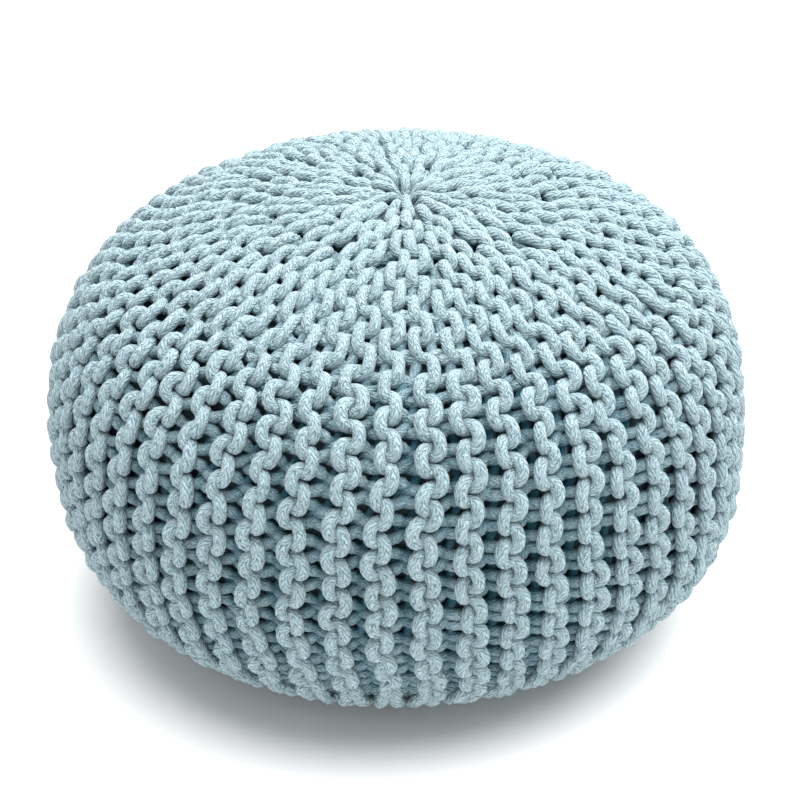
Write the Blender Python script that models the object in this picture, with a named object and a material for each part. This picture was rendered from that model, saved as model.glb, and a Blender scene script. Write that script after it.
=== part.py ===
"""Knitted pouf: a filled round casing inside a thick garter-stitch cover.

The cover's ridges stand upright round the body. One ridge in three runs on into the
gather at the crown, and the others end on the way in, as short rows do.
Metres, +Z up, origin on the floor under the middle of the pouf, front towards -Y.
"""

import bmesh
import bpy
import numpy as np

# Body: a superellipse above the girth and a fuller one below it, cut flat by the floor.
GIRTH_RADIUS = 0.265
GIRTH_HEIGHT = 0.148
CROWN_RISE = 0.187
CROWN_FULLNESS = 2.63
BASE_DROP = 0.158
BASE_FULLNESS = 2.83
FLOOR_BLEND = 0.004

# Unevenness of a filled thing: the left shoulder bulges, and the plan is a little wavy.
BULGE = 0.0035
BULGE_HEIGHT = 0.200
BULGE_SPREAD = 0.093
PLAN_WAVES = (
    # lobes, share of the radius, phase in radians
    (3, 0.005, 1.0),
    (5, 0.003, 2.2),
)

# Gather at the crown: sunk, and drawn a little to the back and to the right.
GATHER_SINK = 0.012
GATHER_RADIUS = 0.042
GATHER_RIGHT = 0.005
GATHER_BACK = 0.018
GATHER_HOLE = 0.006
CROWN_RINGS = (0.042, 0.026, 0.011)

# Knitting: ridges in groups of one full and two shorter ones.
RIDGES = 54
RIDGE_DEPTH = 0.009
CROWN_DEPTH_SHARE = 0.55
WALL = 0.022
FRONT = np.radians(-90.0)
FIRST_RIDGE = FRONT + np.radians(4.4)
RIDGE_ENDS = (
    # distance from the gather at the front, more at the back, variation, its lobes, taper
    (0.000, 0.000, 0.000, 0, 0.001),
    (0.112, 0.032, 0.010, 7, 0.085),
    (0.055, 0.000, 0.008, 5, 0.045),
)
ENDED_WIDTH = 0.30
RIDGE_SECTION = (
    # place across the ridge, share of the depth that the surface lies below the crest
    (0.00, 1.00),
    (0.24, 0.30),
    (0.50, 0.00),
    (0.76, 0.30),
)
CREST = 2

# Underside: the ridges flatten towards the foot, which is one flat face.
FOOT_FADE = 0.045
FOOT_DEPTH_SHARE = 0.15
FOOT_RING = 0.085

# Facets
COVER_RINGS = 19
CASING_SIDES = 54
CASING_RINGS = 18
BEND_WEIGHT = 0.8
CLEARANCE = 0.0003

COTTON = ((0.42, 0.56, 0.61, 1.0), 0.90)
CASING_CLOTH = ((0.16, 0.24, 0.28, 1.0), 0.75)


def smooth_step(x):
    """0 below 0, 1 above 1, and an even S between."""
    x = np.clip(x, 0.0, 1.0)
    return x * x * (3.0 - 2.0 * x)


def floor_cut(height, floor):
    """The larger of the height and the floor, with a small rounding where they meet."""
    above = height - floor
    rounding = (above + FLOOR_BLEND) ** 2 / (4 * FLOOR_BLEND)
    return floor + np.where(
        above > FLOOR_BLEND, above, np.where(above < -FLOOR_BLEND, 0.0, rounding)
    )


class Profile:
    """The body's outline from the crown to the middle of the underside, by its length.

    Each half is (r/a)^p + (z/b)^p = 1. An inset moves every point inwards along the
    outline's normal, and the floor then cuts it that much higher.
    """

    def __init__(self, inset=0.0, points=1200):
        turn = np.linspace(0.0, np.pi / 2, points)
        crown_power, base_power = 2 / CROWN_FULLNESS, 2 / BASE_FULLNESS
        reach = np.concatenate([np.sin(turn) ** crown_power, np.cos(turn[1:]) ** base_power])
        rise = CROWN_RISE * np.cos(turn) ** crown_power
        drop = BASE_DROP * np.sin(turn[1:]) ** base_power
        radius = GIRTH_RADIUS * reach
        height = GIRTH_HEIGHT + np.concatenate([rise, -drop])
        along_r, along_z = np.gradient(radius), np.gradient(height)
        length = np.hypot(along_r, along_z)
        self.radius = np.maximum(radius + inset * along_z / length, 0.0)
        self.height = floor_cut(height - inset * along_r / length, inset)
        self.step = np.hypot(np.diff(self.radius), np.diff(self.height))
        self.path = np.concatenate([[0.0], np.cumsum(self.step)])

    def at(self, station):
        """Radius and height at a distance from the crown along the outline."""
        radius = np.interp(station, self.path, self.radius)
        return radius, np.interp(station, self.path, self.height)

    def normal(self, station):
        """Radial and vertical parts of the outward normal at such a distance."""
        near = 0.002
        radius_a, height_a = self.at(station - near)
        radius_b, height_b = self.at(station + near)
        length = np.hypot(radius_b - radius_a, height_b - height_a)
        return (height_a - height_b) / length, (radius_b - radius_a) / length

    def stations(self, first, last, count):
        """Distances spaced by the outline's length and by how much it bends."""
        kept = np.concatenate([[True], self.step > 1e-7])
        path, radius, height = self.path[kept], self.radius[kept], self.height[kept]
        heading = np.unwrap(np.arctan2(np.diff(height), np.diff(radius)))
        bend = np.concatenate([[0.0, 0.0], np.cumsum(np.abs(np.diff(heading)))])
        weight = path / path[-1] + BEND_WEIGHT * bend / bend[-1]
        ends = np.interp([first, last], path, weight)
        return np.interp(np.linspace(ends[0], ends[1], count), weight, path)


def placed(radius, angle, height):
    """Points of the body at these radii, angles and heights, with its unevenness."""
    wave = sum(share * np.cos(lobes * angle + phase) for lobes, share, phase in PLAN_WAVES)
    reach = radius * (1.0 + wave)
    bulge = BULGE * np.exp(-(((height - BULGE_HEIGHT) / BULGE_SPREAD) ** 2))
    crown = np.where(height > GIRTH_HEIGHT, np.clip(1 - (radius / GIRTH_RADIUS) ** 2, 0, 1), 0)
    across = reach * np.cos(angle) - bulge + GATHER_RIGHT * crown
    back = reach * np.sin(angle) + GATHER_BACK * crown
    return np.stack(np.broadcast_arrays(across, back, height), axis=-1)


def ridge_presence(distance):
    """How much of each ridge is there at these distances from the gather, 0 to 1."""
    ends = np.tile(np.array(RIDGE_ENDS), (RIDGES // len(RIDGE_ENDS), 1))
    turn = np.arange(RIDGES) * 2 * np.pi / RIDGES
    end = ends[:, 0] + ends[:, 1] * (1 - np.cos(turn)) / 2 + ends[:, 2] * np.cos(ends[:, 3] * turn)
    return smooth_step((distance[:, None] - end) / ends[:, 4] + 0.5)


def ridge_columns(distance):
    """Angle and depth below the crests of every column, for each distance from the gather.

    The ridges share the turn in proportion to their widths, and an ended ridge keeps a
    narrow strip at the level of the valleys. The first ridge's crest keeps its angle.
    """
    presence = ridge_presence(distance)
    width = ENDED_WIDTH + (1.0 - ENDED_WIDTH) * presence
    edge = np.cumsum(width, axis=1) - width
    total = width.sum(axis=1)[:, None, None]
    place = np.array([share for share, _ in RIDGE_SECTION])
    below = np.array([share for _, share in RIDGE_SECTION])
    turn = (edge[:, :, None] + width[:, :, None] * place) / total
    angle = FIRST_RIDGE + 2 * np.pi * (turn - turn[:, :1, CREST : CREST + 1])
    depth = 1.0 - presence[:, :, None] * (1.0 - below)
    rows = len(distance)
    return angle.reshape(rows, -1), RIDGE_DEPTH * depth.reshape(rows, -1)


def joined_rings(outer, inner, shift):
    """Triangles from a ring of vertices to a ring with a whole fraction of its count."""
    count = len(outer)
    edge = np.arange(count)
    group = count // len(inner)
    owner = np.floor((edge + 0.5 - shift) / group + 0.5).astype(int) % len(inner)
    before = np.roll(owner, 1)
    faces = [(outer[i], outer[(i + 1) % count], inner[owner[i]]) for i in edge]
    turns = [i for i in edge if owner[i] != before[i]]
    return faces + [(outer[i], inner[owner[i]], inner[before[i]]) for i in turns]


def cover_mesh():
    """Vertices and faces of the ribbed outside of the cover, closed top and bottom."""
    body = Profile()
    foot_edge = body.path[np.argmax(body.height <= 0.0)]
    stations = body.stations(CROWN_RINGS[0], foot_edge, COVER_RINGS)
    angle, depth = ridge_columns(stations)
    normal_r, normal_z = body.normal(stations)
    ring_r, ring_z = body.at(stations)
    crown_share = smooth_step(stations / (3 * CROWN_RINGS[0]))
    depth = depth * (CROWN_DEPTH_SHARE + (1 - CROWN_DEPTH_SHARE) * crown_share)[:, None]
    foot_share = smooth_step(ring_z / FOOT_FADE)
    depth = depth * (FOOT_DEPTH_SHARE + (1 - FOOT_DEPTH_SHARE) * foot_share)[:, None]
    sink = GATHER_SINK * np.exp(-((ring_r / GATHER_RADIUS) ** 2))
    column_r = ring_r[:, None] - depth * normal_r[:, None]
    column_z = np.maximum((ring_z - sink)[:, None] - depth * normal_z[:, None], 0.0)
    points = [placed(column_r, angle, column_z).reshape(-1, 3)]

    columns = angle.shape[1]
    grid = np.arange(COVER_RINGS * columns).reshape(COVER_RINGS, columns)
    after = np.roll(grid, -1, axis=1)
    quads = np.stack([grid[:-1], grid[1:], after[1:], after[:-1]], axis=-1)
    faces = quads.reshape(-1, 4).tolist()
    start = grid.size

    # Crown: one column for each ridge, then one for each full ridge, then the drawn middle.
    section, group = len(RIDGE_SECTION), len(RIDGE_ENDS)
    reaches = np.array(CROWN_RINGS[1:])
    turns, depths = ridge_columns(reaches)
    sinks = GATHER_SINK * np.exp(-((reaches / GATHER_RADIUS) ** 2))
    ring = grid[0].tolist()
    for row, (stride, shift) in enumerate(((section, CREST), (section * group, 0))):
        turn = turns[row, CREST::stride]
        below = sinks[row] + CROWN_DEPTH_SHARE * depths[row, CREST::stride]
        points.append(placed(reaches[row], turn, GIRTH_HEIGHT + CROWN_RISE - below))
        inner = list(range(start, start + len(turn)))
        start += len(turn)
        faces += joined_rings(ring, inner, shift)
        ring = inner
    faces.append(ring)

    # Underside: a coarser ring well inside the footprint, and one flat face.
    turn = angle[-1, CREST::section]
    points.append(placed(FOOT_RING, turn, 0.0 * turn))
    inner = list(range(start, start + len(turn)))
    faces += joined_rings(grid[-1].tolist(), inner, CREST)
    faces.append(inner)
    return np.concatenate(points), faces


def casing_shape(inset, centre):
    """The smooth filled body, this far inside the crests: a sphere primitive reshaped."""
    body = Profile(inset)
    stations = body.stations(0.0, body.path[-1], CASING_RINGS + 1)
    sphere = bmesh.new()
    bmesh.ops.create_uvsphere(
        sphere, u_segments=CASING_SIDES, v_segments=CASING_RINGS, radius=1.0
    )
    for vert in sphere.verts:
        level = np.arccos(np.clip(vert.co.z, -1.0, 1.0)) / np.pi * CASING_RINGS
        radius, height = body.at(stations[int(round(level))])
        vert.co = placed(radius, np.arctan2(vert.co.y, vert.co.x), height).tolist()
    bmesh.ops.translate(sphere, verts=sphere.verts, vec=(-centre[0], -centre[1], 0.0))
    return sphere


def gather_hole_shape(centre):
    """The small hole that the drawn-in stitches leave: a cylinder through the wall."""
    top = GIRTH_HEIGHT + CROWN_RISE
    middle = placed(0.0, 0.0, top)
    hole = bmesh.new()
    bmesh.ops.create_cone(
        hole,
        cap_ends=True,
        segments=RIDGES // len(RIDGE_ENDS),
        radius1=GATHER_HOLE,
        radius2=GATHER_HOLE,
        depth=1.5 * WALL,
    )
    at = (middle[0] - centre[0], middle[1] - centre[1], top - WALL / 2)
    bmesh.ops.translate(hole, verts=hole.verts, vec=at)
    return hole


def cover_shape(points, faces):
    """The cover's outside as a bmesh with its faces pointing out."""
    mesh = bpy.data.meshes.new("cover outside")
    mesh.from_pydata(points.tolist(), [], faces)
    shape = bmesh.new()
    shape.from_mesh(mesh)
    bpy.data.meshes.remove(mesh)
    bmesh.ops.recalc_face_normals(shape, faces=shape.faces)
    return shape


def add_object(name, shape, collection):
    """An object made from a bmesh, smooth shaded, in a collection."""
    mesh = bpy.data.meshes.new(name)
    shape.to_mesh(mesh)
    shape.free()
    mesh.shade_smooth()
    made = bpy.data.objects.new(name, mesh)
    collection.objects.link(made)
    return made


def add_material(target, name, finish):
    """Gives an object a plain cloth material of this colour and roughness."""
    colour, roughness = finish
    made = bpy.data.materials.new(name)
    made.use_nodes = True
    shader = made.node_tree.nodes["Principled BSDF"]
    shader.inputs["Base Color"].default_value = colour
    shader.inputs["Roughness"].default_value = roughness
    shader.inputs["Metallic"].default_value = 0.0
    made.diffuse_color = colour
    target.data.materials.append(made)


def cut(target, cutter):
    """Takes the cutter's volume out of the target, and hides the cutter."""
    step = target.modifiers.new("cut " + cutter.name, "BOOLEAN")
    step.operation = "DIFFERENCE"
    step.solver = "EXACT"
    step.object = cutter
    cutter.hide_render = True
    cutter.display_type = "WIRE"


def new_collection(name):
    """A collection linked to the scene."""
    made = bpy.data.collections.new(name)
    bpy.context.scene.collection.children.link(made)
    return made


def build_pouf():
    """Builds the cover and the casing, with the cover hollowed for the casing."""
    for stale in list(bpy.data.objects):
        bpy.data.objects.remove(stale)
    pouf = new_collection("knitted_pouf")
    cutters = new_collection("cutters")

    points, faces = cover_mesh()
    centre = (points.min(axis=0) + points.max(axis=0))[:2] / 2
    points[:, :2] -= centre
    cover = add_object("knitted_cover", cover_shape(points, faces), pouf)
    cut(cover, add_object("casing_space", casing_shape(WALL, centre), cutters))
    cut(cover, add_object("gather_hole", gather_hole_shape(centre), cutters))
    add_material(cover, "cotton cord", COTTON)

    casing = add_object("inner_casing", casing_shape(WALL + CLEARANCE, centre), pouf)
    add_material(casing, "casing cloth", CASING_CLOTH)


build_pouf()
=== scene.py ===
"""Knitted pouf, dressed: every stitch of the thick cotton cord over its filled casing.

The cover is garter stitch worked sideways. A row of knitting runs from the gather at the
crown to the one underneath, two rows make a ridge, and some ridges are short rows. Each
row is one continuous cord, carried along the path that its stitches take.
Metres, +Z up, origin on the floor under the middle of the pouf, front towards -Y.
"""

import bpy
import numpy as np
from bpy.props import FloatProperty, FloatVectorProperty, IntProperty, PointerProperty
from bpy.types import Operator, Panel, PropertyGroup
from mathutils import Euler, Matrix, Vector


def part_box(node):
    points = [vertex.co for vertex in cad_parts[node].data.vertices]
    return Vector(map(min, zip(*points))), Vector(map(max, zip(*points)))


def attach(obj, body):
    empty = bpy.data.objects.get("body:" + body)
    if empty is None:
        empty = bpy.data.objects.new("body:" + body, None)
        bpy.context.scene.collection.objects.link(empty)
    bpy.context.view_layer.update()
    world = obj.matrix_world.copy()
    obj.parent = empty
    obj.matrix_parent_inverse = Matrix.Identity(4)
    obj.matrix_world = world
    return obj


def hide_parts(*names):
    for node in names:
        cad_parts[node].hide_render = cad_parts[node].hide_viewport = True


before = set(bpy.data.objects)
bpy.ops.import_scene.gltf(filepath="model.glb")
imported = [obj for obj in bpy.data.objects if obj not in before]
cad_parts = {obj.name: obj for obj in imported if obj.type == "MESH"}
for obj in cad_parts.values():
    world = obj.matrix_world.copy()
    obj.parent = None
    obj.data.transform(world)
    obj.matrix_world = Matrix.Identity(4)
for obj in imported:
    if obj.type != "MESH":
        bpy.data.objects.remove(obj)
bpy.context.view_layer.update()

bl_info = {
    "name": "Knitted pouf",
    "version": (1, 0, 0),
    "blender": (4, 5, 0),
    "location": "3D View > Sidebar > Pouf",
    "description": "Dresses a knitted pouf: its stitches, its casing and a plain studio",
    "category": "Object",
}

COVER = "knitted_cover"
CASING = "inner_casing"
BODY = "root"
TURN = 2.0 * np.pi

# Outline of the body: superellipses above and below the girth, cut flat by the floor.
GIRTH_RADIUS = 0.265
GIRTH_HEIGHT = 0.148
CROWN_RISE = 0.187
CROWN_FULLNESS = 2.63
BASE_DROP = 0.158
BASE_FULLNESS = 2.83
FLOOR_BLEND = 0.004
# The shoulders lie a little to the left, and the plan is not quite round.
BULGE = 0.0035
BULGE_HEIGHT = 0.200
BULGE_SPREAD = 0.093
PLAN_WAVES = (
    # lobes, share of the radius, phase in radians
    (3, 0.005, 1.0),
    (5, 0.003, 2.2),
)
# The gather at the crown: how deep and wide its dip is, and how far it lies off the middle.
GATHER_SINK = 0.012
GATHER_RADIUS = 0.042
GATHER_RIGHT = 0.005
GATHER_BACK = 0.018
# The casing lies inside the cover's thickness and a small gap.
CASING_INSET = 0.0223
CASING_RINGS, CASING_SIDES = 61, 144
# The rings and sides at which the casing's own box is read.
BOX_RINGS, BOX_SIDES = 60, 216

# Ridges: of each three, one is whole, one ends far from the gathers and one nearer to them.
RIDGES = 54
FIRST_RIDGE = np.radians(-90.0 + 4.4)
RIDGE_ENDS = (
    # distance from the gather at the front, more at the back, variation, its lobes, taper
    (0.000, 0.000, 0.000, 0, 0.001),
    (0.112, 0.032, 0.010, 7, 0.085),
    (0.055, 0.000, 0.008, 5, 0.045),
)
# The share of its width that an ended ridge keeps.
ENDED_WIDTH = 0.30
# The ridges sway a little to the sides on their way down.
RIDGE_WAVES = (
    # share of a ridge, radians for each metre down, lobes round the body, phase in radians
    (0.07, 31.0, 2, 0.0),
    (0.05, 70.0, -3, 1.0),
)
SECTORS = 6

# Stitch lengths along the outline, by distance from the crown.
STITCH_LENGTHS = (
    # distance, length of a stitch there
    (0.000, 0.0340),
    (0.200, 0.0340),
    (0.232, 0.0250),
    (0.340, 0.0245),
    (0.380, 0.0232),
    (0.430, 0.0218),
    (0.731, 0.0218),
)
# A head lies at this distance, and is given this number, so that no stitch counts below 0.
HEAD_DISTANCE = 0.2443
HEAD_NUMBER = 40.0
# The rounds of heads wander up and down round the body.
HEAD_WAVES = (
    # stitches, lobes, phase in radians
    (0.30, 2, 0.6),
    (0.16, 5, 2.0),
)

# Four stitches are relaxed first, and then mixed: short and long, on wide and narrow ridges.
# Lengths here are in cord thicknesses, unless a comment says otherwise.
SHORT_PITCH, LONG_PITCH = 2.8, 4.0
WIDE_RIDGE, NARROW_RIDGE = 3.35, 2.10
STITCH_FAMILY = (
    # stitch length, ridge width, cord in the stitch
    (SHORT_PITCH, WIDE_RIDGE, 11.8),
    (LONG_PITCH, WIDE_RIDGE, 12.8),
    (SHORT_PITCH, NARROW_RIDGE, 9.4),
    (LONG_PITCH, NARROW_RIDGE, 10.4),
)
# How far a stitch may stand out of the middle of the cloth, to the front and to the back.
STITCH_RISE = 1.5
# The stitch length and ridge width for which the first path is drawn.
DRAWN_PITCH, DRAWN_RIDGE = 2.84, 3.5
# Relaxing: the shares of an overlap, a bend, its change and a wrong length taken out a
# round, and how often the length is set right in it.
EASE_OVERLAP = 0.8
EASE_BEND = 0.015
EASE_CHANGE = 0.20
EASE_LENGTH = 0.45
LENGTH_PASSES = 6
# Strands nearer than this along the same cord don't push each other.
SAME_STRAND = 1.35
# The contact distance starts at this share and grows by this much over all the rounds.
CONTACT_START, CONTACT_GROWTH = 0.35, 1.1

# How the relaxed stitch is laid on the body, in shares of a stitch along the row and of a
# ridge across it: the middle of a row, what brings its ridge over the place in the layout,
# how far across a head reaches, and the lean.
ROW_CENTRE = 0.43
ROW_OFFSET = 0.185
HEAD_REACH = 0.95
STITCH_LEAN = 0.04
# Front and back slide apart along the row, about these places across it, back and front.
STITCH_SHEAR = 0.10
SHEAR_PLACES = (0.21, 0.71)
# Arcs in front draw in to their middles, close up across the ridge and are pressed flat.
STITCH_TUCK = 0.17
STITCH_CLOSE = 0.024
STITCH_FLAT = 0.25
# The share of the rise at which a strand counts as wholly in front, and its steepness.
FRONT_RISE = 0.8
RISE_POWER = 1.9
# How much fuller the cord is where it bends round the front of a ridge.
FRONT_FULLER = 0.08
# Stitches on narrow ridges swing out more across the row.
NARROW_SWING = 0.15
# How the legs behind spread: the share of their distance from the head or the sinker.
LEG_SPREADS = (
    # way across the stitch, of a leg that ends at a head behind, of one from a sinker behind
    (0.00, 1.00, 0.60),
    (0.15, 1.00, 0.50),
    (0.28, 1.00, 0.50),
    (0.40, 0.85, 0.62),
    (0.55, 0.72, 0.85),
    (0.70, 0.92, 0.98),
    (0.82, 1.20, 1.00),
    (0.95, 1.30, 1.00),
)
# The long stitches of the crown stand out less, lie deeper and spread their legs less.
CROWN_FLATTER = 0.40
CROWN_EASE = 0.42
CROWN_SPREAD = 0.6
# Sampling a stitch: the steps in which its path is read, the height from which its cord
# counts as in front, and the density behind, to which the front adds up to 1.
PATH_STEPS = 400
FRONT_START = -0.6
BACK_DENSITY = 0.45

# Hand-made unevenness, as the spread of smooth random curves: the swing across the row,
# the shift along it in stitches, across it in ridges and outwards in cord thicknesses,
# the lean, and the thickness in long and in short waves, so many of these to a stitch.
UNEVEN_SWING = 0.10
UNEVEN_ALONG = 0.038
UNEVEN_ACROSS = 0.032
UNEVEN_OUT = 0.085
UNEVEN_LEAN = 0.05
UNEVEN_THICK = 0.03
SHORT_WAVES = 4

# Near a gather, by the distance from it in metres. The cord runs straight up to the first
# distance, ridges neither sway nor lie deeper up to the second, and the cord is thinner up
# to the third. Each change takes the length of its fade.
STRAIGHT_UNTIL, STRAIGHT_FADE, UNDER_FADE = 0.022, 0.018, 0.020
CALM_UNTIL, SWAY_FADE, EASE_FADE = 0.05, 0.05, 0.06
THIN_UNTIL, THIN_FADE, GATHER_THIN = 0.010, 0.020, 0.80
# How high a ridge's second row runs at the gather, and how much higher away from it.
UNDER_LOW, UNDER_GROWTH = -0.6, 1.1
# Where strands dive into the gather, in turn round it, how gradually and deep they do, how
# much further they go, and how much of the dive adds to the painted shade deep in the knit.
GATHER_DIVES = (0.007, 0.024, 0.015)
DIVE_FADE = 0.012
DIVE_DEPTH = 1.3
DIVE_END = 0.008
DIVE_SHADE = 0.3
# The share of the gather's dip that the strands leave open.
GATHER_OPEN = 0.30
# How near the strands go to the ends of the outline and to the axis, at most.
END_GAP = 0.0035
AXIS_GAP = 0.0025
# A short row ends where this little of its ridge is left: it thins and sinks on the way.
ENDED_FROM, ENDED_FADE = 0.15, 0.5
ENDED_THIN = 0.8
ENDED_DEPTH = 1.5

# The braid's pattern starts elsewhere on each row, by this many cord thicknesses.
PATTERN_SHIFT = 17.3
SEED_STEP = 1000

# The braid. The noise that makes it wander, for each metre, and how much more its columns
# wander round the cord than along it.
WANDER_SCALE = 260.0
COLUMN_WANDER = 2.6
# How far a second noise bends the fibres, in radians, and between which of its values they
# grow from their least height to their full one.
FIBRE_BEND = 2.9
STREAK_FROM, STREAK_TO = 0.32, 0.66
FIBRE_LEAST = 0.4
# How steeply, how roundly and how high a column stands out, and how strong the painted shade
# in a pit is at most.
COLUMN_STEEP = 4.0
COLUMN_ROUND = 0.6
COLUMN_HEIGHT = 0.7
PIT_SHADE_MOST = 1.15
# The cord's colours, as shares of its own colour with a tint: flecks that are also a painted
# highlight on the fibres' crests, painted shade in the pits, and painted shade deep in the knit.
FLECK_AND_HIGHLIGHT_SHARES = (0.93, 1.10)
PIT_SHADE_STRENGTH = 0.70
PIT_SHADE_SHARE, PIT_SHADE_TINT = 0.20, (0.50, 0.98, 1.10)
DEEP_SHADE_SHARE, DEEP_SHADE_TINT = 0.20, (0.06, 1.00, 1.35)
# How far below the ridge the painted shade deep in the knit starts and is full.
DEEP_SHADE_FROM, DEEP_SHADE_TO = 0.50, 1.85
# The casing's grain, for each metre, and the shares of its colour that it lies between.
GRAIN_SCALE = 900.0
GRAIN_SHARES = (0.85, 1.15)

# The soft lights: size, place and what they face.
OVERHEAD_SIZE, OVERHEAD_PLACE = 4.2, (0.44, 0.42, 2.20)
FRONT_SIZE, FRONT_PLACE = 1.6, (-0.35, -2.40, 0.40)
LIGHT_AIM = Vector((0.0, 0.0, 0.2))
FLOOR_SIDES, FLOOR_REACH = 64, 14.0


class PoufCord(PropertyGroup):
    """The cord and how it is knitted."""

    thickness: FloatProperty(
        name="Cord thickness", description="Diameter of the cord",
        default=0.0087, min=0.004, max=0.014, subtype="DISTANCE", unit="LENGTH",
    )
    relief: FloatProperty(
        name="Ridge relief", description="How far a ridge stands out, in cord thicknesses",
        default=0.92, min=0.3, max=1.5,
    )
    backing: FloatProperty(
        name="Backing", description="How far the back of a stitch goes in, in cord thicknesses",
        default=0.75, min=0.3, max=1.5,
    )
    samples: IntProperty(
        name="Samples", description="Rings of each stitch's tube",
        default=20, min=8, max=40,
    )
    sides: IntProperty(
        name="Sides", description="Sides of the cord's tube", default=8, min=5, max=16,
    )
    seed: IntProperty(
        name="Seed", description="Seed of the hand-made unevenness", default=7, min=0,
    )
    colour: FloatVectorProperty(
        name="Cord colour", description="Colour of the cotton", subtype="COLOR",
        size=4, min=0.0, max=1.0, default=(0.325, 0.440, 0.480, 1.0),
    )


class PoufCasing(PropertyGroup):
    """The filled casing that shows through the stitches."""

    colour: FloatVectorProperty(
        name="Casing colour", description="Colour of the casing's cloth", subtype="COLOR",
        size=4, min=0.0, max=1.0, default=(0.120, 0.195, 0.230, 1.0),
    )
    fill: FloatProperty(
        name="Fill", description="How tight the filling is, from slack to tight",
        default=0.9, min=0.0, max=1.0, subtype="FACTOR",
    )


class PoufStudio(PropertyGroup):
    """The stage: camera, lights and floor."""

    distance: FloatProperty(
        name="Camera distance", description="From the camera to the middle of the girth",
        default=1.647, min=0.3, subtype="DISTANCE", unit="LENGTH",
    )
    elevation: FloatProperty(
        name="Camera elevation", description="Angle of the view above the horizon",
        default=np.radians(31.8), subtype="ANGLE", unit="ROTATION",
    )
    raised: FloatProperty(
        name="Raised aim", description="How far the view's centre lies above the girth's",
        default=0.00427, subtype="ANGLE", unit="ROTATION",
    )
    lens: FloatProperty(
        name="Lens", description="Focal length on a 36 mm sensor, in millimetres",
        default=96.0, min=10.0,
    )
    dome: FloatProperty(
        name="Dome", description="Strength of the white light from all round",
        default=0.64, min=0.0,
    )
    overhead: FloatProperty(
        name="Overhead", description="Power of the large soft light overhead",
        default=206.0, min=0.0, unit="POWER",
    )
    front: FloatProperty(
        name="Front", description="Power of the weak soft light low in front",
        default=10.0, min=0.0, unit="POWER",
    )


def smooth_step(x):
    """0 below 0, 1 above 1, and between them x squared times three less two x."""
    x = np.clip(x, 0.0, 1.0)
    return x * x * (3.0 - 2.0 * x)


class Outline:
    """The body's outline from the crown to the middle of the underside, by its length.

    Each half is (r/a)^p + (z/b)^p = 1, moved inwards along its normal by the inset.
    """

    def __init__(self, inset=0.0, points=1200):
        turn = np.linspace(0.0, np.pi / 2, points)
        crown_power, base_power = 2 / CROWN_FULLNESS, 2 / BASE_FULLNESS
        reach = np.concatenate([np.sin(turn) ** crown_power, np.cos(turn[1:]) ** base_power])
        rise = CROWN_RISE * np.cos(turn) ** crown_power
        drop = BASE_DROP * np.sin(turn[1:]) ** base_power
        radius = GIRTH_RADIUS * reach
        height = GIRTH_HEIGHT + np.concatenate([rise, -drop])
        along_r, along_z = np.gradient(radius), np.gradient(height)
        length = np.hypot(along_r, along_z)
        above = height - inset * along_r / length - inset
        rounding = (above + FLOOR_BLEND) ** 2 / (4 * FLOOR_BLEND)
        cut = np.where(above < -FLOOR_BLEND, 0.0, rounding)
        self.radius = np.maximum(radius + inset * along_z / length, 0.0)
        self.height = inset + np.where(above > FLOOR_BLEND, above, cut)
        step = np.hypot(np.diff(self.radius), np.diff(self.height))
        self.path = np.concatenate([[0.0], np.cumsum(step)])
        self.end = self.path[-1]

    def at(self, station):
        """Radius and height at a distance from the crown along the outline."""
        radius = np.interp(station, self.path, self.radius)
        return radius, np.interp(station, self.path, self.height)

    def normal(self, station):
        """Radial and vertical parts of the outward normal at such a distance."""
        near = 0.004
        radius_a, height_a = self.at(station - near)
        radius_b, height_b = self.at(station + near)
        length = np.maximum(np.hypot(radius_b - radius_a, height_b - height_a), 1e-9)
        return (height_a - height_b) / length, (radius_b - radius_a) / length


def placed(radius, angle, height):
    """Points of the body at these radii, angles and heights, with its unevenness.

    The plan's cosines widen the radius. A ring moves left by a bell over its height, and
    at the crown right and back by one less its squared share of the girth's radius.
    """
    wave = sum(share * np.cos(lobes * angle + phase) for lobes, share, phase in PLAN_WAVES)
    reach = radius * (1.0 + wave)
    bulge = BULGE * np.exp(-(((height - BULGE_HEIGHT) / BULGE_SPREAD) ** 2))
    crown = np.where(height > GIRTH_HEIGHT, np.clip(1 - (radius / GIRTH_RADIUS) ** 2, 0, 1), 0)
    across = reach * np.cos(angle) - bulge + GATHER_RIGHT * crown
    back = reach * np.sin(angle) + GATHER_BACK * crown
    return np.stack(np.broadcast_arrays(across, back, height), axis=-1)


def casing_grid(rings, sides):
    """The casing's rings from top to bottom, each a round of points, before centring."""
    body = Outline(CASING_INSET)
    stations = np.linspace(0.0, body.end, rings)
    radius, height = body.at(stations)
    angle = np.arange(sides) * TURN / sides
    return placed(radius[:, None], angle, height[:, None] + 0.0 * angle)


def centre_shift():
    """How far the body's axis lies from the frame's origin, from the casing's own box."""
    grid = casing_grid(BOX_RINGS, BOX_SIDES).reshape(-1, 3)
    low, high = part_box(CASING)
    middle = (grid.min(axis=0) + grid.max(axis=0))[:2] / 2
    return np.array([(low.x + high.x) / 2, (low.y + high.y) / 2]) - middle


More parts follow.
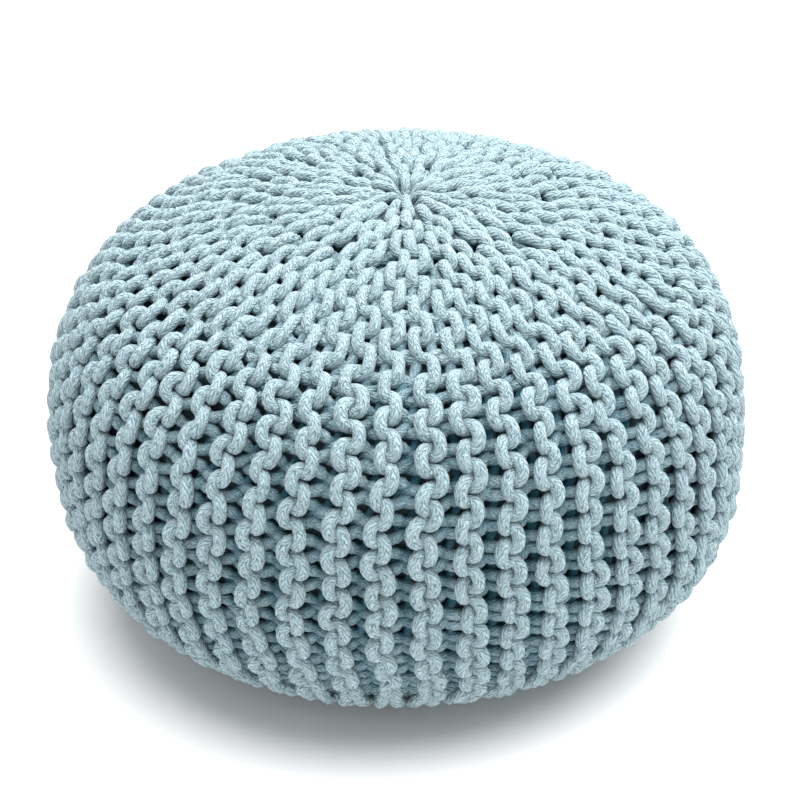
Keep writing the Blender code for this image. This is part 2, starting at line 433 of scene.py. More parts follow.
def stitch_start(pitch, ridge, rise, count):
    """A first path for one stitch of cord, from sinker to sinker, in cord thicknesses.

    From the sinker at the back it goes up through the loop before it, out round the loop
    after it, and over the head at the front; the other leg is its mirror image.
    """
    wide, high = pitch / DRAWN_PITCH, ridge / DRAWN_RIDGE
    leg = np.array([
        # along the row, across the rows, out of the cloth
        (-pitch / 2, 0.00 * high, -rise),
        (-0.75 * wide, 0.22 * high, 0.15 - rise),
        (-0.45, 1.20 * high, 0.90 - rise),
        (-0.72 * wide, 1.55 * high, 0.0),
        (-1.00 * wide, 1.90 * high, rise - 0.90),
        (-0.95 * wide, 2.45 * high, rise - 0.35),
        (-0.55 * wide, 2.95 * high, rise - 0.03),
        (0.0, 3.10 * high, rise),
    ])
    points = np.concatenate([leg, leg[-2::-1] * (-1, 1, 1)])
    length = np.linalg.norm(np.diff(points, axis=0), axis=1)
    place = np.concatenate([[0.0], np.cumsum(length)])
    wanted = np.linspace(0.0, place[-1], count + 1)[:-1]
    return np.stack([np.interp(wanted, place, points[:, axis]) for axis in range(3)], axis=1)


def next_to(points, pitch, step):
    """Each point's neighbour along the row, with the next stitch's after the last."""
    moved = np.roll(points, -step, axis=0)
    if step > 0:
        moved[-1, 0] += pitch
    else:
        moved[0, 0] -= pitch
    return moved


def relaxed_stitch(pitch, ridge, length, rise, contact=0.80, count=40, rounds=500):
    """One stitch of cord after it has settled against its neighbours, in cord thicknesses.

    The path repeats along the row every pitch. Each next row is the same path half a
    ridge on and turned back to front. Every round pushes strands apart that are nearer
    than the contact distance, evens out bends, restores the cord's own length, and takes
    the mean of the path and its mirror image. The contact distance grows from thin to
    full, so that each strand stays on its own side of the next.
    """
    points = stitch_start(pitch, ridge, rise, count)
    rows, shifts, index = np.meshgrid(
        np.arange(-3, 4), np.arange(-2, 3), np.arange(count), indexing="ij"
    )
    rows, shifts, index = rows.ravel(), shifts.ravel(), index.ravel()
    offset = np.stack([shifts * pitch, rows * ridge / 2, 0.0 * rows], axis=1)
    face = np.where(rows % 2 == 0, 1.0, -1.0)
    apart = np.abs(np.arange(count)[:, None] - (index + shifts * count)) * length / count
    own = (rows == 0) & (apart < SAME_STRAND)
    for done in range(rounds):
        reach = contact * min(1.0, CONTACT_START + CONTACT_GROWTH * done / rounds)
        others = points[index]
        others[:, 2] *= face
        gap = points[:, None, :] - (others + offset)
        distance = np.maximum(np.linalg.norm(gap, axis=2), 1e-6)
        press = np.where(own, 0.0, np.clip(reach - distance, 0.0, None))
        touching = np.maximum((press > 0).sum(axis=1), 1)[:, None]
        push = (press[:, :, None] / distance[:, :, None] * gap).sum(axis=1)
        points = points + EASE_OVERLAP * push / touching
        bend = (next_to(points, pitch, 1) + next_to(points, pitch, -1)) / 2 - points
        change = (np.roll(bend, 1, axis=0) + np.roll(bend, -1, axis=0)) / 2 - bend
        points = points + EASE_BEND * bend - EASE_CHANGE * change
        for _ in range(LENGTH_PASSES):
            chord = next_to(points, pitch, 1) - points
            size = np.linalg.norm(chord, axis=1)
            wrong = EASE_LENGTH * (size - length / count)
            move = (wrong / np.maximum(size, 1e-6))[:, None] * chord
            points = points + move - np.roll(move, 1, axis=0)
        points[:, 2] = np.clip(points[:, 2], -rise, rise)
        mirror = np.roll(points[::-1], 1, axis=0) * (-1, 1, 1)
        mirror[0, 0] -= pitch
        points = (points + mirror) / 2
        points[:, 1] -= points[0, 1]
    return points


def stitch_family():
    """Relaxed stitches for short and long pitches and for wide and narrow ridges.

    Each is given as parts of its own pitch and ridge width, so that they can be mixed.
    """
    made = []
    for pitch, ridge, length in STITCH_FAMILY:
        path = relaxed_stitch(pitch, ridge, length, STITCH_RISE)
        path[:, 0] = path[:, 0] / pitch
        path[:, 1] = path[:, 1] / ridge
        path[:, 2] = path[:, 2] / path[:, 2].max()
        made.append(path)
    return np.array(made)


def path_between(paths, place):
    """Catmull-Rom points of repeating paths at places counted in stitches."""
    count = paths.shape[1]
    where = place * count
    first = np.floor(where).astype(int)
    share = (where - first)[:, None]

    def at(step):
        index = first + step
        value = paths[:, index % count].copy()
        value[:, :, 0] += index // count
        return value

    a, b, c, d = at(-1), at(0), at(1), at(2)
    return 0.5 * (
        2 * b + (c - a) * share + (2 * a - 5 * b + 4 * c - d) * share**2
        + (3 * b - a - 3 * c + d) * share**3
    )


def sample_places(paths, samples):
    """Places of one stitch's samples, closer together where the cord lies in front."""
    fine = np.linspace(0.0, 1.0, PATH_STEPS)
    path = path_between(paths[:1], fine)[0]
    true_size = path * (SHORT_PITCH, WIDE_RIDGE, STITCH_RISE)
    size = np.linalg.norm(np.diff(true_size, axis=0), axis=1)
    front = smooth_step(path[1:, 2] - FRONT_START)
    weight = np.concatenate([[0.0], np.cumsum(size * (BACK_DENSITY + front))])
    return np.interp(np.arange(samples) / samples * weight[-1], weight, fine)


class RidgeLayout:
    """Where the ridges lie: their shares of the turn at each distance from the crown."""

    def __init__(self, body, rows=240):
        self.station = np.linspace(0.0, body.end, rows)
        presence = self.presence(self.station) * self.presence(body.end - self.station)
        width = ENDED_WIDTH + (1.0 - ENDED_WIDTH) * presence
        total = width.sum(axis=1)[:, None]
        edge = np.concatenate([0.0 * total, np.cumsum(width, axis=1)], axis=1) / total
        self.presence_table = presence
        self.edge = FIRST_RIDGE + TURN * (edge - 0.5 * width[:, :1] / total)
        radius, _ = body.at(self.station)
        self.width = TURN * radius[:, None] * width / total

    @staticmethod
    def presence(distance):
        """How much of each ridge is there at these distances from a gather, 0 to 1.

        It is a smooth step about the ridge's own end, as long as its taper.
        """
        ends = np.tile(np.array(RIDGE_ENDS), (RIDGES // len(RIDGE_ENDS), 1))
        turn = np.arange(RIDGES) * TURN / RIDGES
        end = ends[:, 0] + ends[:, 1] * (1 - np.cos(turn)) / 2
        end = end + ends[:, 2] * np.cos(ends[:, 3] * turn)
        return smooth_step((distance[:, None] - end) / ends[:, 4] + 0.5)

    def read(self, table, station, column):
        """A table's value at these distances and whole columns, read in between rows."""
        step = self.station[1]
        row = np.clip(station / step, 0, len(self.station) - 1.001)
        low = row.astype(int)
        share = row - low
        return table[low, column] * (1 - share) + table[low + 1, column] * share

    def angle(self, station, across):
        """Angle at a distance from the crown and a place counted in ridges."""
        ridge = np.floor(across).astype(int)
        share = across - ridge
        left = self.read(self.edge, station, ridge % RIDGES)
        right = self.read(self.edge, station, ridge % RIDGES + 1)
        return left * (1 - share) + right * share + TURN * (ridge // RIDGES)


def stitch_stations(body):
    """Distance from the crown against the number of stitches, as two arrays."""
    station = np.linspace(-0.02, body.end + 0.02, 2000)
    marks = np.array(STITCH_LENGTHS)
    pitch = np.interp(station, marks[:, 0], marks[:, 1])
    count = np.concatenate([[0.0], np.cumsum(np.diff(station) / pitch[1:])])
    return station, count - np.interp(HEAD_DISTANCE, station, count) + HEAD_NUMBER


def slow_noise(rng, place, scale, knots):
    """A random curve along places from 0 to knots: smooth steps between normal values."""
    value = rng.normal(0.0, scale, knots + 2)
    index = np.clip(np.floor(place).astype(int), 0, knots)
    share = smooth_step(place - index)
    return value[index] * (1 - share) + value[index + 1] * share


def local_stitch(paths, place, pitch, width):
    """The stitch path for this pitch and ridge width, both in cord thicknesses.

    The four relaxed paths are mixed in straight proportion, first the short with the long
    ones, then the wide with the narrow ones. The shares of long and narrow come with it.
    """
    short_wide, long_wide, short_narrow, long_narrow = path_between(paths, place)
    long_share = np.clip((pitch - SHORT_PITCH) / (LONG_PITCH - SHORT_PITCH), 0.0, 1.0)
    narrow_share = np.clip((WIDE_RIDGE - width) / (WIDE_RIDGE - NARROW_RIDGE), 0.0, 1.0)
    lengthened, narrowed = long_share[:, None], narrow_share[:, None]
    wide = short_wide * (1 - lengthened) + long_wide * lengthened
    narrow = short_narrow * (1 - lengthened) + long_narrow * lengthened
    return wide * (1 - narrowed) + narrow * narrowed, long_share, narrow_share


def row_centres(row, cord, body, layout, paths, rng):
    """Centre points, outward normals, radii and depths below the ridge of one row's cord, the
    last for the painted shade deep in the knit.

    Along the row the stitch path is stretched to the local stitch length and ridge
    width: u counts stitches along it, v ridges across it, and h cord thicknesses outwards.
    Near a gather, and where a short row ends, its swing dies away and the cord runs
    straight, and there it also sinks below its neighbours. A point lies in from the body's
    surface, along its normal, by the cord's radius and what h lacks of the relief.
    """
    ridge, back_to_front = divmod(row, 2)
    face = -1.0 if back_to_front else 1.0
    station, count = stitch_stations(body)
    turn = TURN * ridge / RIDGES
    phase = sum(size * np.sin(lobes * turn + start) for size, lobes, start in HEAD_WAVES)

    first = int(np.interp(0.0, station, count))
    last = int(np.interp(body.end, station, count)) + 1
    places = sample_places(paths, cord.samples)
    if back_to_front:
        places = (places + 0.5) % 1.0
    place = np.sort((np.arange(first, last)[:, None] + places).ravel())
    middle = place - 0.5
    straight = np.interp(middle + phase, count, station)
    d = cord.thickness
    marks = np.array(STITCH_LENGTHS)
    pitch = np.interp(straight, marks[:, 0], marks[:, 1]) / d
    width = layout.read(layout.width, straight, ridge) / d
    path, long_share, narrow_share = local_stitch(paths, place, pitch, width)
    path_u, path_v, path_h = path[:, 0], path[:, 1], path[:, 2]

    pole = np.minimum(straight, body.end - straight)
    present = layout.read(layout.presence_table, straight, ridge)
    ended = smooth_step((present - ENDED_FROM) / ENDED_FADE)
    swing = smooth_step((pole - STRAIGHT_UNTIL) / STRAIGHT_FADE) * ended

    knots = last - first
    along = (place - first).clip(0, knots)
    loose = 1.0 + slow_noise(rng, along, UNEVEN_SWING, knots)
    u_off = slow_noise(rng, along, UNEVEN_ALONG, knots) * swing
    v_off = slow_noise(rng, along, UNEVEN_ACROSS, knots)
    h_off = slow_noise(rng, along, UNEVEN_OUT, knots)
    tilt = face * STITCH_LEAN + slow_noise(rng, along, UNEVEN_LEAN, knots)
    thick = 1.0 + slow_noise(rng, along, UNEVEN_THICK, knots)
    thick = thick + slow_noise(rng, SHORT_WAVES * along, UNEVEN_THICK, SHORT_WAVES * knots)

    # Along the row: lean, shear, the arcs drawn in and the legs spread.
    in_front = smooth_step(face * path_h / FRONT_RISE)
    shear_back, shear_front = SHEAR_PLACES
    shear_place = shear_back + (shear_front - shear_back) * (1 + path_h) / 2
    sheared = STITCH_SHEAR * face * path_h * (path_v - shear_place)
    head_centre, sinker_centre = np.floor(place), np.round(place) - 0.5
    arc_centre = np.where(path_h > 0, head_centre, sinker_centre)
    tucked = STITCH_TUCK * in_front * (arc_centre - path_u)
    spreads = np.array(LEG_SPREADS)
    spread = np.interp(path_v, spreads[:, 0], spreads[:, 1 if back_to_front else 2])
    leg_centre = head_centre if back_to_front else sinker_centre
    spread = (spread - 1.0) * (1.0 - CROWN_SPREAD * long_share) * (path_u - leg_centre)
    swung = path_u - middle + tilt * path_v + sheared + tucked + spread
    u = middle + swing * swung + u_off

    # Across the row: the swing to both sides, the arcs in front flat and closed up.
    swing_v = swing * (path_v - ROW_CENTRE) * loose * (1 + NARROW_SWING * narrow_share)
    flat = STITCH_FLAT * (1.0 + long_share) * (np.where(path_h > 0, HEAD_REACH, 0.0) - path_v)
    v = ROW_CENTRE + swing_v + v_off + swing * in_front * (flat - STITCH_CLOSE * face)

    # Outwards: up to the ridge in front, down to the backing behind.
    raised = np.sign(path_h) * np.abs(path_h) ** RISE_POWER
    flatter = 1.0 - CROWN_FLATTER * long_share
    front = np.where(face * path_h > 0, cord.relief, cord.backing) * flatter
    under = UNDER_LOW + UNDER_GROWTH * smooth_step((pole - STRAIGHT_UNTIL) / UNDER_FADE)
    top_layer = under if back_to_front else cord.relief * flatter
    h = swing * face * raised * front + (1 - swing) * top_layer + h_off

    s = np.interp(u + phase, count, station)
    s = np.clip(s, END_GAP, body.end - END_GAP)
    sway = sum(
        size * np.sin(down * s + lobes * turn + start) for size, down, lobes, start in RIDGE_WAVES
    )
    across = row / 2 + v - ROW_OFFSET
    angle = layout.angle(s, across + sway * smooth_step((pole - CALM_UNTIL) / SWAY_FADE))

    taper = GATHER_THIN + (1 - GATHER_THIN) * smooth_step((pole - THIN_UNTIL) / THIN_FADE)
    taper = taper * (1 + FRONT_FULLER * in_front * swing * (1 - long_share))
    radius = 0.5 * d * thick * taper * (ENDED_THIN + (1 - ENDED_THIN) * ended)
    hidden = (1 - ended) * ENDED_DEPTH * d
    dive = GATHER_DIVES[ridge // len(RIDGE_ENDS) % len(GATHER_DIVES)]
    plunge = DIVE_DEPTH * d * (1 - smooth_step((pole - dive) / DIVE_FADE + 0.5))
    eased = CROWN_EASE * d * long_share * smooth_step((pole - CALM_UNTIL) / EASE_FADE)
    on_casing = CASING_INSET - 2 * radius
    depth = radius + np.minimum((cord.relief - h) * d + eased, on_casing) + hidden + plunge
    # Depth below the ridge, with part of a dive, which sets the painted shade deep in the knit.
    shade_depth = radius + (cord.relief * flatter - h) * d + hidden + DIVE_SHADE * plunge

    ring_r, ring_z = body.at(s)
    normal_r, normal_z = body.normal(s)
    dip = GATHER_OPEN * GATHER_SINK * np.exp(-((ring_r / GATHER_RADIUS) ** 2))
    sink = dip * (s < body.end / 2)
    centre_r = np.maximum(ring_r - depth * normal_r, AXIS_GAP)
    centre_z = np.maximum(ring_z - sink - depth * normal_z, radius)
    points = placed(centre_r, angle, centre_z)
    normal = np.stack([normal_r * np.cos(angle), normal_r * np.sin(angle), normal_z], axis=-1)
    keep = (present > ENDED_FROM) & (pole > dive - DIVE_END)
    return points[keep], normal[keep], radius[keep], shade_depth[keep]


def tube(points, normal, radius, sides):
    """Rings round a path, how far out each of their points faces, and the way along it.

    A ring's point is the centre plus the radius times cos(a) of the side direction plus
    sin(a) of the upward direction. The side is the heading crossed with the surface's
    normal, and the upward direction is square to the side and the heading.
    """
    heading = np.gradient(points, axis=0)
    size = np.linalg.norm(heading, axis=1)
    heading = heading / size[:, None]
    side = np.cross(heading, normal)
    side = side / np.maximum(np.linalg.norm(side, axis=1), 1e-6)[:, None]
    upward = np.cross(side, heading)
    turn = np.arange(sides) * TURN / sides
    ring = np.cos(turn)[:, None] * side[:, None, :] + np.sin(turn)[:, None] * upward[:, None, :]
    outward = (ring * normal[:, None, :]).sum(axis=2)
    return points[:, None, :] + radius[:, None, None] * ring, outward, np.cumsum(size)


def tube_faces(rings, sides, start):
    """Corner vertices of a tube's quads and its two end caps, facing outwards."""
    grid = np.arange(rings * sides).reshape(rings, sides) + start
    after = np.roll(grid, -1, axis=1)
    quads = np.stack([grid[:-1], grid[1:], after[1:], after[:-1]], axis=-1).reshape(-1, 4)
    return quads, grid[0], grid[-1][::-1]


def mesh_from_arrays(name, points, corners, starts):
    """A smooth mesh from arrays of points, face corners and the faces' first corners."""
    mesh = bpy.data.meshes.new(name)
    mesh.vertices.add(len(points))
    mesh.vertices.foreach_set("co", points.astype(np.float32).ravel())
    mesh.loops.add(len(corners))
    mesh.loops.foreach_set("vertex_index", corners.astype(np.int32))
    mesh.polygons.add(len(starts))
    mesh.polygons.foreach_set("loop_start", starts.astype(np.int32))
    mesh.update(calc_edges=True)
    mesh.validate()
    mesh.shade_smooth()
    return mesh


def new_object(name, data):
    """An object with this data, linked to the scene."""
    made = bpy.data.objects.new(name, data)
    bpy.context.scene.collection.objects.link(made)
    return made


def add_piece(name, mesh, material, slot, *nodes):
    """An object at the origin with this mesh, riding on the body in place of the nodes."""
    made = new_object(name, mesh)
    mesh.materials.append(material)
    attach(made, BODY)
    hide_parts(*nodes)
    return made


def rows_mesh(name, rows, cord, body, layout, paths, shift):
    """One mesh of several rows of cord, with a UV map along and around the cord.

    A point attribute holds how far each point lies below the ridge, in thicknesses, which sets
    the painted shade deep in the knit.
    """
    sides = cord.sides
    points, quads, caps, along, around, shade_depths = [], [], [], [], [], []
    start = 0
    for row in rows:
        rng = np.random.default_rng(SEED_STEP * cord.seed + row)
        centres, normal, radius, shade_depth = row_centres(row, cord, body, layout, paths, rng)
        rings, outward, distance = tube(centres, normal, radius, sides)
        faces, head, tail = tube_faces(len(centres), sides, start)
        points.append(rings.reshape(-1, 3))
        # Points that face inwards lie deeper and take more of that painted shade.
        below = (shade_depth[:, None] - radius[:, None] * outward) / cord.thickness
        shade_depths.append(below.ravel())
        quads.append(faces)
        caps += [head, tail]
        reach = distance / cord.thickness + PATTERN_SHIFT * row
        corner_along = np.stack([reach[:-1], reach[1:], reach[1:], reach[:-1]], axis=-1)
        along.append(np.repeat(corner_along, sides, axis=0))
        turn = np.arange(sides) / sides
        corner_around = np.stack([turn, turn, turn + 1 / sides, turn + 1 / sides], axis=-1)
        around.append(np.tile(corner_around, (len(centres) - 1, 1)))
        start += len(centres) * sides
    points = np.concatenate(points)
    points[:, :2] += shift
    quads = np.concatenate(quads)
    corners = np.concatenate([quads.ravel(), np.concatenate(caps)])
    starts = np.concatenate([
        4 * np.arange(len(quads)), 4 * len(quads) + sides * np.arange(len(caps)),
    ])
    mesh = mesh_from_arrays(name, points, corners, starts)
    layer = mesh.uv_layers.new(name="cord")
    flat = np.stack([np.concatenate(along).ravel(), np.concatenate(around).ravel()], axis=-1)
    cap_corners = np.zeros((sides * len(caps), 2))
    layer.data.foreach_set("uv", np.concatenate([flat, cap_corners]).astype(np.float32).ravel())
    attribute = mesh.attributes.new("shade_depth", "FLOAT", "POINT")
    attribute.data.foreach_set("value", np.concatenate(shade_depths).astype(np.float32))
    return mesh


def new_group(name, inputs, outputs):
    """An empty shader node group with these sockets, and its two end nodes."""
    group = bpy.data.node_groups.new(name, "ShaderNodeTree")
    for label, kind, value in inputs:
        socket = group.interface.new_socket(label, in_out="INPUT", socket_type=kind)
        socket.default_value = value
    for label, kind in outputs:
        group.interface.new_socket(label, in_out="OUTPUT", socket_type=kind)
    entry = group.nodes.new("NodeGroupInput")
    leave = group.nodes.new("NodeGroupOutput")
    return group, entry, leave


def math_node(tree, operation, first, second=None):
    """A Math node fed by sockets or numbers."""
    node = tree.nodes.new("ShaderNodeMath")
    node.operation = operation
    for index, value in enumerate((first, second)):
        if isinstance(value, (int, float)):
            node.inputs[index].default_value = value
        elif value is not None:
            tree.links.new(value, node.inputs[index])
    return node.outputs[0]


def noise_node(tree, vector, scale, detail):
    """A Noise Texture read at this vector: its factor."""
    node = tree.nodes.new("ShaderNodeTexNoise")
    node.inputs["Scale"].default_value = scale
    node.inputs["Detail"].default_value = detail
    tree.links.new(vector, node.inputs["Vector"])
    return node.outputs["Fac"]


def smooth_range(tree, value, low, high):
    """A Map Range node that goes smoothly from 0 at low to 1 at high."""
    node = tree.nodes.new("ShaderNodeMapRange")
    node.interpolation_type = "SMOOTHSTEP"
    node.inputs["From Min"].default_value = low
    node.inputs["From Max"].default_value = high
    tree.links.new(value, node.inputs["Value"])
    return node.outputs["Result"]


def braid_group():
    """Braided cord: short slanting fibres that lie the other way in every second column.

    A noise is read at s1 = a cos t + b sin t along the fibres and s2 = b cos t - a sin t
    across them. Here a is the way along the cord and b the way round it, both in cord
    thicknesses, b runs to and fro across each column, and t is the slant. A fibre is a
    sine wave across s2 that the noise bends, and it stands out where the noise is strong.
    Each column is rounded on top of that, and pits lie between fibres where it is weak. The
    pits darken the colour between the fibres as painted shade, and the fibres' height lightens
    their crests as a painted highlight.
    """
    group, entry, leave = new_group(
        "braided cord",
        [
            ("Column", "NodeSocketFloat", 0.45),
            ("Slant", "NodeSocketFloat", 0.55),
            ("Fibre Length", "NodeSocketFloat", 0.34),
            ("Fibre Width", "NodeSocketFloat", 0.25),
            ("Wander", "NodeSocketFloat", 0.20),
        ],
        [("Height", "NodeSocketFloat"), ("Pit Shade", "NodeSocketFloat"), ("Fleck and Highlight", "NodeSocketFloat")],
    )
    links = group.links
    column, slant = entry.outputs["Column"], entry.outputs["Slant"]

    def calc(operation, first, second=None):
        return math_node(group, operation, first, second)

    uv = group.nodes.new("ShaderNodeUVMap")
    uv.uv_map = "cord"
    parts = group.nodes.new("ShaderNodeSeparateXYZ")
    links.new(uv.outputs["UV"], parts.inputs[0])
    coordinate = group.nodes.new("ShaderNodeTexCoord")
    wobble = noise_node(group, coordinate.outputs["Object"], WANDER_SCALE, 2.0)
    stray = calc("MULTIPLY", calc("SUBTRACT", wobble, 0.5), entry.outputs["Wander"])

    around = calc("MULTIPLY", parts.outputs["Y"], np.pi)
    swayed = calc("ADD", around, calc("MULTIPLY", stray, COLUMN_WANDER))
    zigzag = calc("PINGPONG", swayed, column)
    along = calc("ADD", parts.outputs["X"], stray)
    cosine, sine = calc("COSINE", slant), calc("SINE", slant)
    lengthwise = calc("ADD", calc("MULTIPLY", along, cosine), calc("MULTIPLY", zigzag, sine))
    crosswise = calc("SUBTRACT", calc("MULTIPLY", zigzag, cosine), calc("MULTIPLY", along, sine))
    over_fibres = calc("DIVIDE", crosswise, entry.outputs["Fibre Width"])
    place = group.nodes.new("ShaderNodeCombineXYZ")
    links.new(calc("DIVIDE", lengthwise, entry.outputs["Fibre Length"]), place.inputs[0])
    links.new(over_fibres, place.inputs[1])
    broken = noise_node(group, place.outputs[0], 1.0, 1.0)
    phase = calc("MULTIPLY", over_fibres, TURN)
    wave = calc("SINE", calc("ADD", phase, calc("MULTIPLY", broken, FIBRE_BEND)))
    fibre = calc("MULTIPLY_ADD", wave, 0.5)
    fibre.node.inputs[2].default_value = 0.5
    streak = smooth_range(group, broken, STREAK_FROM, STREAK_TO)

    edge = calc("PINGPONG", swayed, calc("MULTIPLY", column, 0.5))
    rounded = calc("POWER", calc("MULTIPLY", edge, COLUMN_STEEP), COLUMN_ROUND)
    raised = calc("MULTIPLY", fibre, calc("ADD", streak, FIBRE_LEAST))
    height = calc("ADD", raised, calc("MULTIPLY", rounded, COLUMN_HEIGHT))
    links.new(height, leave.inputs["Height"])
    # Pits: painted shade in the troughs between fibres, strongest where the streak is weak.
    low = calc("POWER", calc("SUBTRACT", 1.0, fibre), 2.0)
    pit_shade = calc("MULTIPLY", low, calc("SUBTRACT", PIT_SHADE_MOST, streak))
    links.new(pit_shade, leave.inputs["Pit Shade"])
    # The fibres' height also goes out as flecks, which lighten their crests as a painted
    # highlight.
    links.new(raised, leave.inputs["Fleck and Highlight"])
    return group


def mixed_colour(tree, factor, first, second):
    """A Mix node between two colours or colour sockets."""
    node = tree.nodes.new("ShaderNodeMix")
    node.data_type = "RGBA"
    tree.links.new(factor, node.inputs["Factor"])
    for label, value in (("A", first), ("B", second)):
        socket = next(s for s in node.inputs if s.name == label and s.type == "RGBA")
        if isinstance(value, (tuple, list)):
            socket.default_value = value
        else:
            tree.links.new(value, socket)
    return next(s for s in node.outputs if s.type == "RGBA")


def tinted(colour, share, tint=(1.0, 1.0, 1.0)):
    """A colour times a share and a tint, with full alpha."""
    return tuple(colour[i] * share * tint[i] for i in range(3)) + (1.0,)


def new_material(name, roughness, specular):
    """A material with nodes, its tree and its shader, of this roughness and gloss."""
    made = bpy.data.materials.new(name)
    made.use_nodes = True
    shader = made.node_tree.nodes["Principled BSDF"]
    shader.inputs["Roughness"].default_value = roughness
    shader.inputs["Specular IOR Level"].default_value = specular
    return made, made.node_tree, shader


def add_bump(tree, shader, height, strength, distance):
    """Bump from a height, as deep as the distance in metres."""
    bump = tree.nodes.new("ShaderNodeBump")
    bump.inputs["Strength"].default_value = strength
    bump.inputs["Distance"].default_value = distance
    tree.links.new(height, bump.inputs["Height"])
    tree.links.new(bump.outputs["Normal"], shader.inputs["Normal"])


def cord_material(cord):
    """Matt cotton cord: braided relief, flecks with a painted highlight on the fibres' crests,
    painted shade in the pits, and painted shade, darker and bluer, deep in the knit.
    """
    made, tree, shader = new_material("cotton cord", roughness=0.92, specular=0.25)
    shader.inputs["Sheen Weight"].default_value = 0.15
    shader.inputs["Sheen Roughness"].default_value = 0.5
    braid = tree.nodes.new("ShaderNodeGroup")
    braid.node_tree = braid_group()
    colour = tuple(cord.colour)
    # Flecks: the fibres' crests lighter as a painted highlight, their troughs a little darker as
    # painted shade, broken by random streaks.
    dull, bright = (tinted(colour, share) for share in FLECK_AND_HIGHLIGHT_SHARES)
    flecked_and_highlit = mixed_colour(tree, braid.outputs["Fleck and Highlight"], dull, bright)
    # Painted shade in the pits between fibres, darker and bluer.
    pit_shade_factor = math_node(tree, "MULTIPLY", braid.outputs["Pit Shade"], PIT_SHADE_STRENGTH)
    pit_shaded = mixed_colour(tree, pit_shade_factor, flecked_and_highlit, tinted(colour, PIT_SHADE_SHARE, PIT_SHADE_TINT))
    # Painted shade deep in the knit: darker and bluer with the depth below the ridge.
    shade_depth = tree.nodes.new("ShaderNodeAttribute")
    shade_depth.attribute_name = "shade_depth"
    shade = smooth_range(tree, shade_depth.outputs["Fac"], DEEP_SHADE_FROM, DEEP_SHADE_TO)
    final = mixed_colour(tree, shade, pit_shaded, tinted(colour, DEEP_SHADE_SHARE, DEEP_SHADE_TINT))
    tree.links.new(final, shader.inputs["Base Color"])
    add_bump(tree, shader, braid.outputs["Height"], strength=0.9, distance=0.0009)
    return made


def casing_material(casing):
    """Smooth slate-blue cloth with a fine grain, from one noise."""
    made, tree, shader = new_material("casing cloth", roughness=0.7, specular=0.3)
    colour = tuple(casing.colour)
    coordinate = tree.nodes.new("ShaderNodeTexCoord")
    grain = noise_node(tree, coordinate.outputs["Object"], GRAIN_SCALE, 2.0)
    dark, light = (tinted(colour, share) for share in GRAIN_SHARES)
    tree.links.new(mixed_colour(tree, grain, dark, light), shader.inputs["Base Color"])
    add_bump(tree, shader, grain, strength=0.4, distance=0.0004)
    return made


class OBJECT_OT_pouf_casing(Operator):
    """Makes the filled casing: the body's outline moved in by the cover and a small gap"""

    bl_idname = "object.pouf_casing"
    bl_label = "Casing"

    def execute(self, context):
        settings = context.scene.pouf_casing
        rings, sides = CASING_RINGS, CASING_SIDES
        grid = casing_grid(rings, sides)
        grid[:, :, :2] += centre_shift()
        inner = grid[1:-1].reshape(-1, 3)
        points = np.concatenate([inner, grid[0, :1], grid[-1, :1]])
        index = np.arange((rings - 2) * sides).reshape(rings - 2, sides)
        after = np.roll(index, -1, axis=1)
        quads = np.stack([index[:-1], index[1:], after[1:], after[:-1]], axis=-1).reshape(-1, 4)
        top, bottom = len(inner), len(inner) + 1
        upper = np.stack([np.full(sides, top), index[0], after[0]], axis=-1)
        lower = np.stack([np.full(sides, bottom), after[-1], index[-1]], axis=-1)
        fans = np.concatenate([upper, lower])
        corners = np.concatenate([quads.ravel(), fans.ravel()])
        starts = np.concatenate([
            4 * np.arange(len(quads)), 4 * len(quads) + 3 * np.arange(len(fans)),
        ])
        mesh = mesh_from_arrays("casing_cloth", points, corners, starts)
        piece = add_piece("casing_cloth", mesh, casing_material(settings), "casing_cloth", CASING)
        return {"FINISHED"}


class OBJECT_OT_pouf_knitting(Operator):
    """Makes the rows of cord, a sixth of the way round in each piece"""

    bl_idname = "object.pouf_knitting"
    bl_label = "Knitting"

    def execute(self, context):
        cord = context.scene.pouf_cord
        body = Outline()
        layout = RidgeLayout(body)
        paths = stitch_family()
        material = cord_material(cord)
        shift = centre_shift()
        each = 2 * RIDGES // SECTORS
        for sector in range(SECTORS):
            name = f"cord_rows_{sector + 1}"
            rows = range(sector * each, (sector + 1) * each)
            mesh = rows_mesh(name, rows, cord, body, layout, paths, shift)
            add_piece(name, mesh, material, "cotton_cord", COVER)
        return {"FINISHED"}


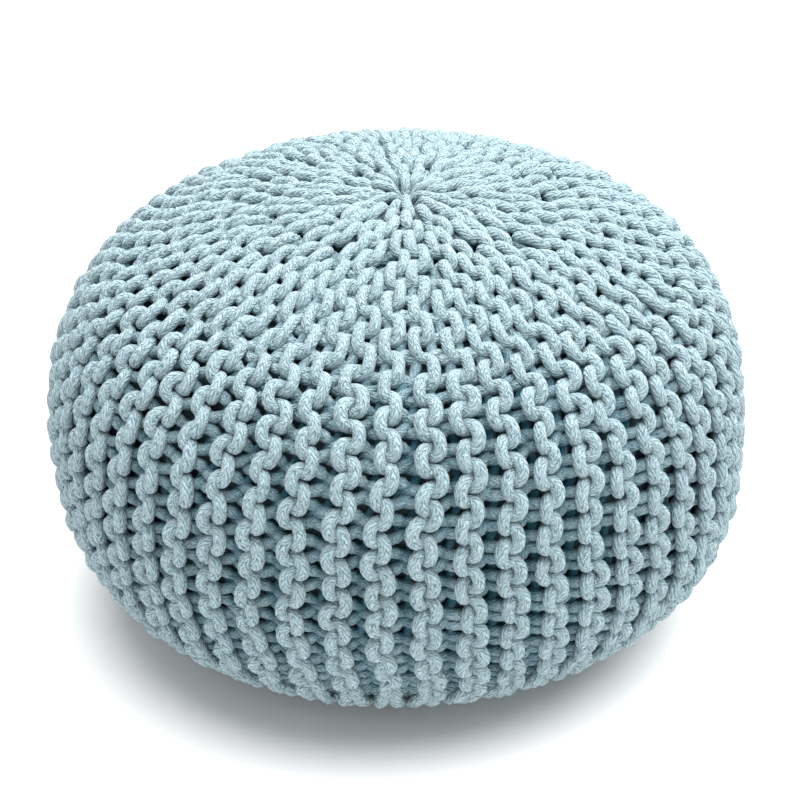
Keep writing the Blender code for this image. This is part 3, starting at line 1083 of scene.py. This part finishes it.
class OBJECT_OT_pouf_studio(Operator):
    """Makes the floor, the soft lights and the camera"""

    bl_idname = "object.pouf_studio"
    bl_label = "Studio"

    def execute(self, context):
        studio = context.scene.pouf_studio
        self.add_floor()
        self.add_dome(context, studio)
        self.add_soft_light("overhead", studio.overhead, OVERHEAD_SIZE, OVERHEAD_PLACE)
        self.add_soft_light("front", studio.front, FRONT_SIZE, FRONT_PLACE)
        self.add_camera(context, studio)
        context.scene.view_settings.view_transform = "Standard"
        return {"FINISHED"}

    def add_floor(self):
        """A wide white disc: the reach times the cosine and the sine of an even turn."""
        angle = np.arange(FLOOR_SIDES) * TURN / FLOOR_SIDES
        points = FLOOR_REACH * np.stack([np.cos(angle), np.sin(angle), 0 * angle], axis=-1)
        mesh = mesh_from_arrays("floor", points, np.arange(FLOOR_SIDES), np.array([0]))
        material, _, shader = new_material("white floor", roughness=0.9, specular=0.1)
        shader.inputs["Base Color"].default_value = (0.9, 0.9, 0.9, 1.0)
        mesh.materials.append(material)
        new_object("floor", mesh)

    def add_dome(self, context, studio):
        """Even white light from all round."""
        world = bpy.data.worlds.new("white dome")
        world.use_nodes = True
        background = world.node_tree.nodes["Background"]
        background.inputs["Color"].default_value = (1.0, 1.0, 1.0, 1.0)
        background.inputs["Strength"].default_value = studio.dome
        context.scene.world = world

    def add_soft_light(self, name, power, size, place):
        """A large round light that faces the pouf."""
        light = bpy.data.lights.new(name, "AREA")
        light.shape = "DISK"
        light.size = size
        light.energy = power
        made = new_object(name, light)
        made.location = Vector(place)
        aim = LIGHT_AIM - made.location
        made.rotation_euler = aim.to_track_quat("-Z", "Y").to_euler()

    def add_camera(self, context, studio):
        """The camera in front, aimed a little above the middle of the girth."""
        camera = bpy.data.cameras.new("camera")
        camera.lens = studio.lens
        camera.sensor_width = 36.0
        camera.clip_start = 0.05
        made = new_object("camera", camera)
        e = studio.elevation
        away = Vector((0.0, -np.cos(e), np.sin(e)))
        middle = Vector((*centre_shift(), GIRTH_HEIGHT))
        made.location = middle + studio.distance * away
        made.rotation_euler = Euler((np.pi / 2 - e + studio.raised, 0.0, 0.0))
        context.scene.camera = made


class VIEW3D_PT_pouf(Panel):
    """Lists the steps that dress the pouf, with their sizes and colours"""

    bl_idname = "VIEW3D_PT_pouf"
    bl_label = "Knitted pouf"
    bl_space_type = "VIEW_3D"
    bl_region_type = "UI"
    bl_category = "Pouf"

    def draw(self, context):
        scene = context.scene
        for settings, operator in (
            (scene.pouf_casing, OBJECT_OT_pouf_casing),
            (scene.pouf_cord, OBJECT_OT_pouf_knitting),
            (scene.pouf_studio, OBJECT_OT_pouf_studio),
        ):
            box = self.layout.box()
            for label in settings.__annotations__:
                box.prop(settings, label)
            box.operator(operator.bl_idname)


CLASSES = (
    PoufCord,
    PoufCasing,
    PoufStudio,
    OBJECT_OT_pouf_casing,
    OBJECT_OT_pouf_knitting,
    OBJECT_OT_pouf_studio,
    VIEW3D_PT_pouf,
)


def register():
    """Registers the classes and hangs the settings on the scene."""
    for each in CLASSES:
        bpy.utils.register_class(each)
    bpy.types.Scene.pouf_cord = PointerProperty(type=PoufCord)
    bpy.types.Scene.pouf_casing = PointerProperty(type=PoufCasing)
    bpy.types.Scene.pouf_studio = PointerProperty(type=PoufStudio)


def unregister():
    """Takes the settings and the classes away again."""
    del bpy.types.Scene.pouf_studio
    del bpy.types.Scene.pouf_casing
    del bpy.types.Scene.pouf_cord
    for each in reversed(CLASSES):
        bpy.utils.unregister_class(each)


def main():
    """Dresses the pouf: its casing, its knitting and the studio."""
    register()
    bpy.ops.object.pouf_casing()
    bpy.ops.object.pouf_knitting()
    bpy.ops.object.pouf_studio()


if __name__ == "__main__":
    main()
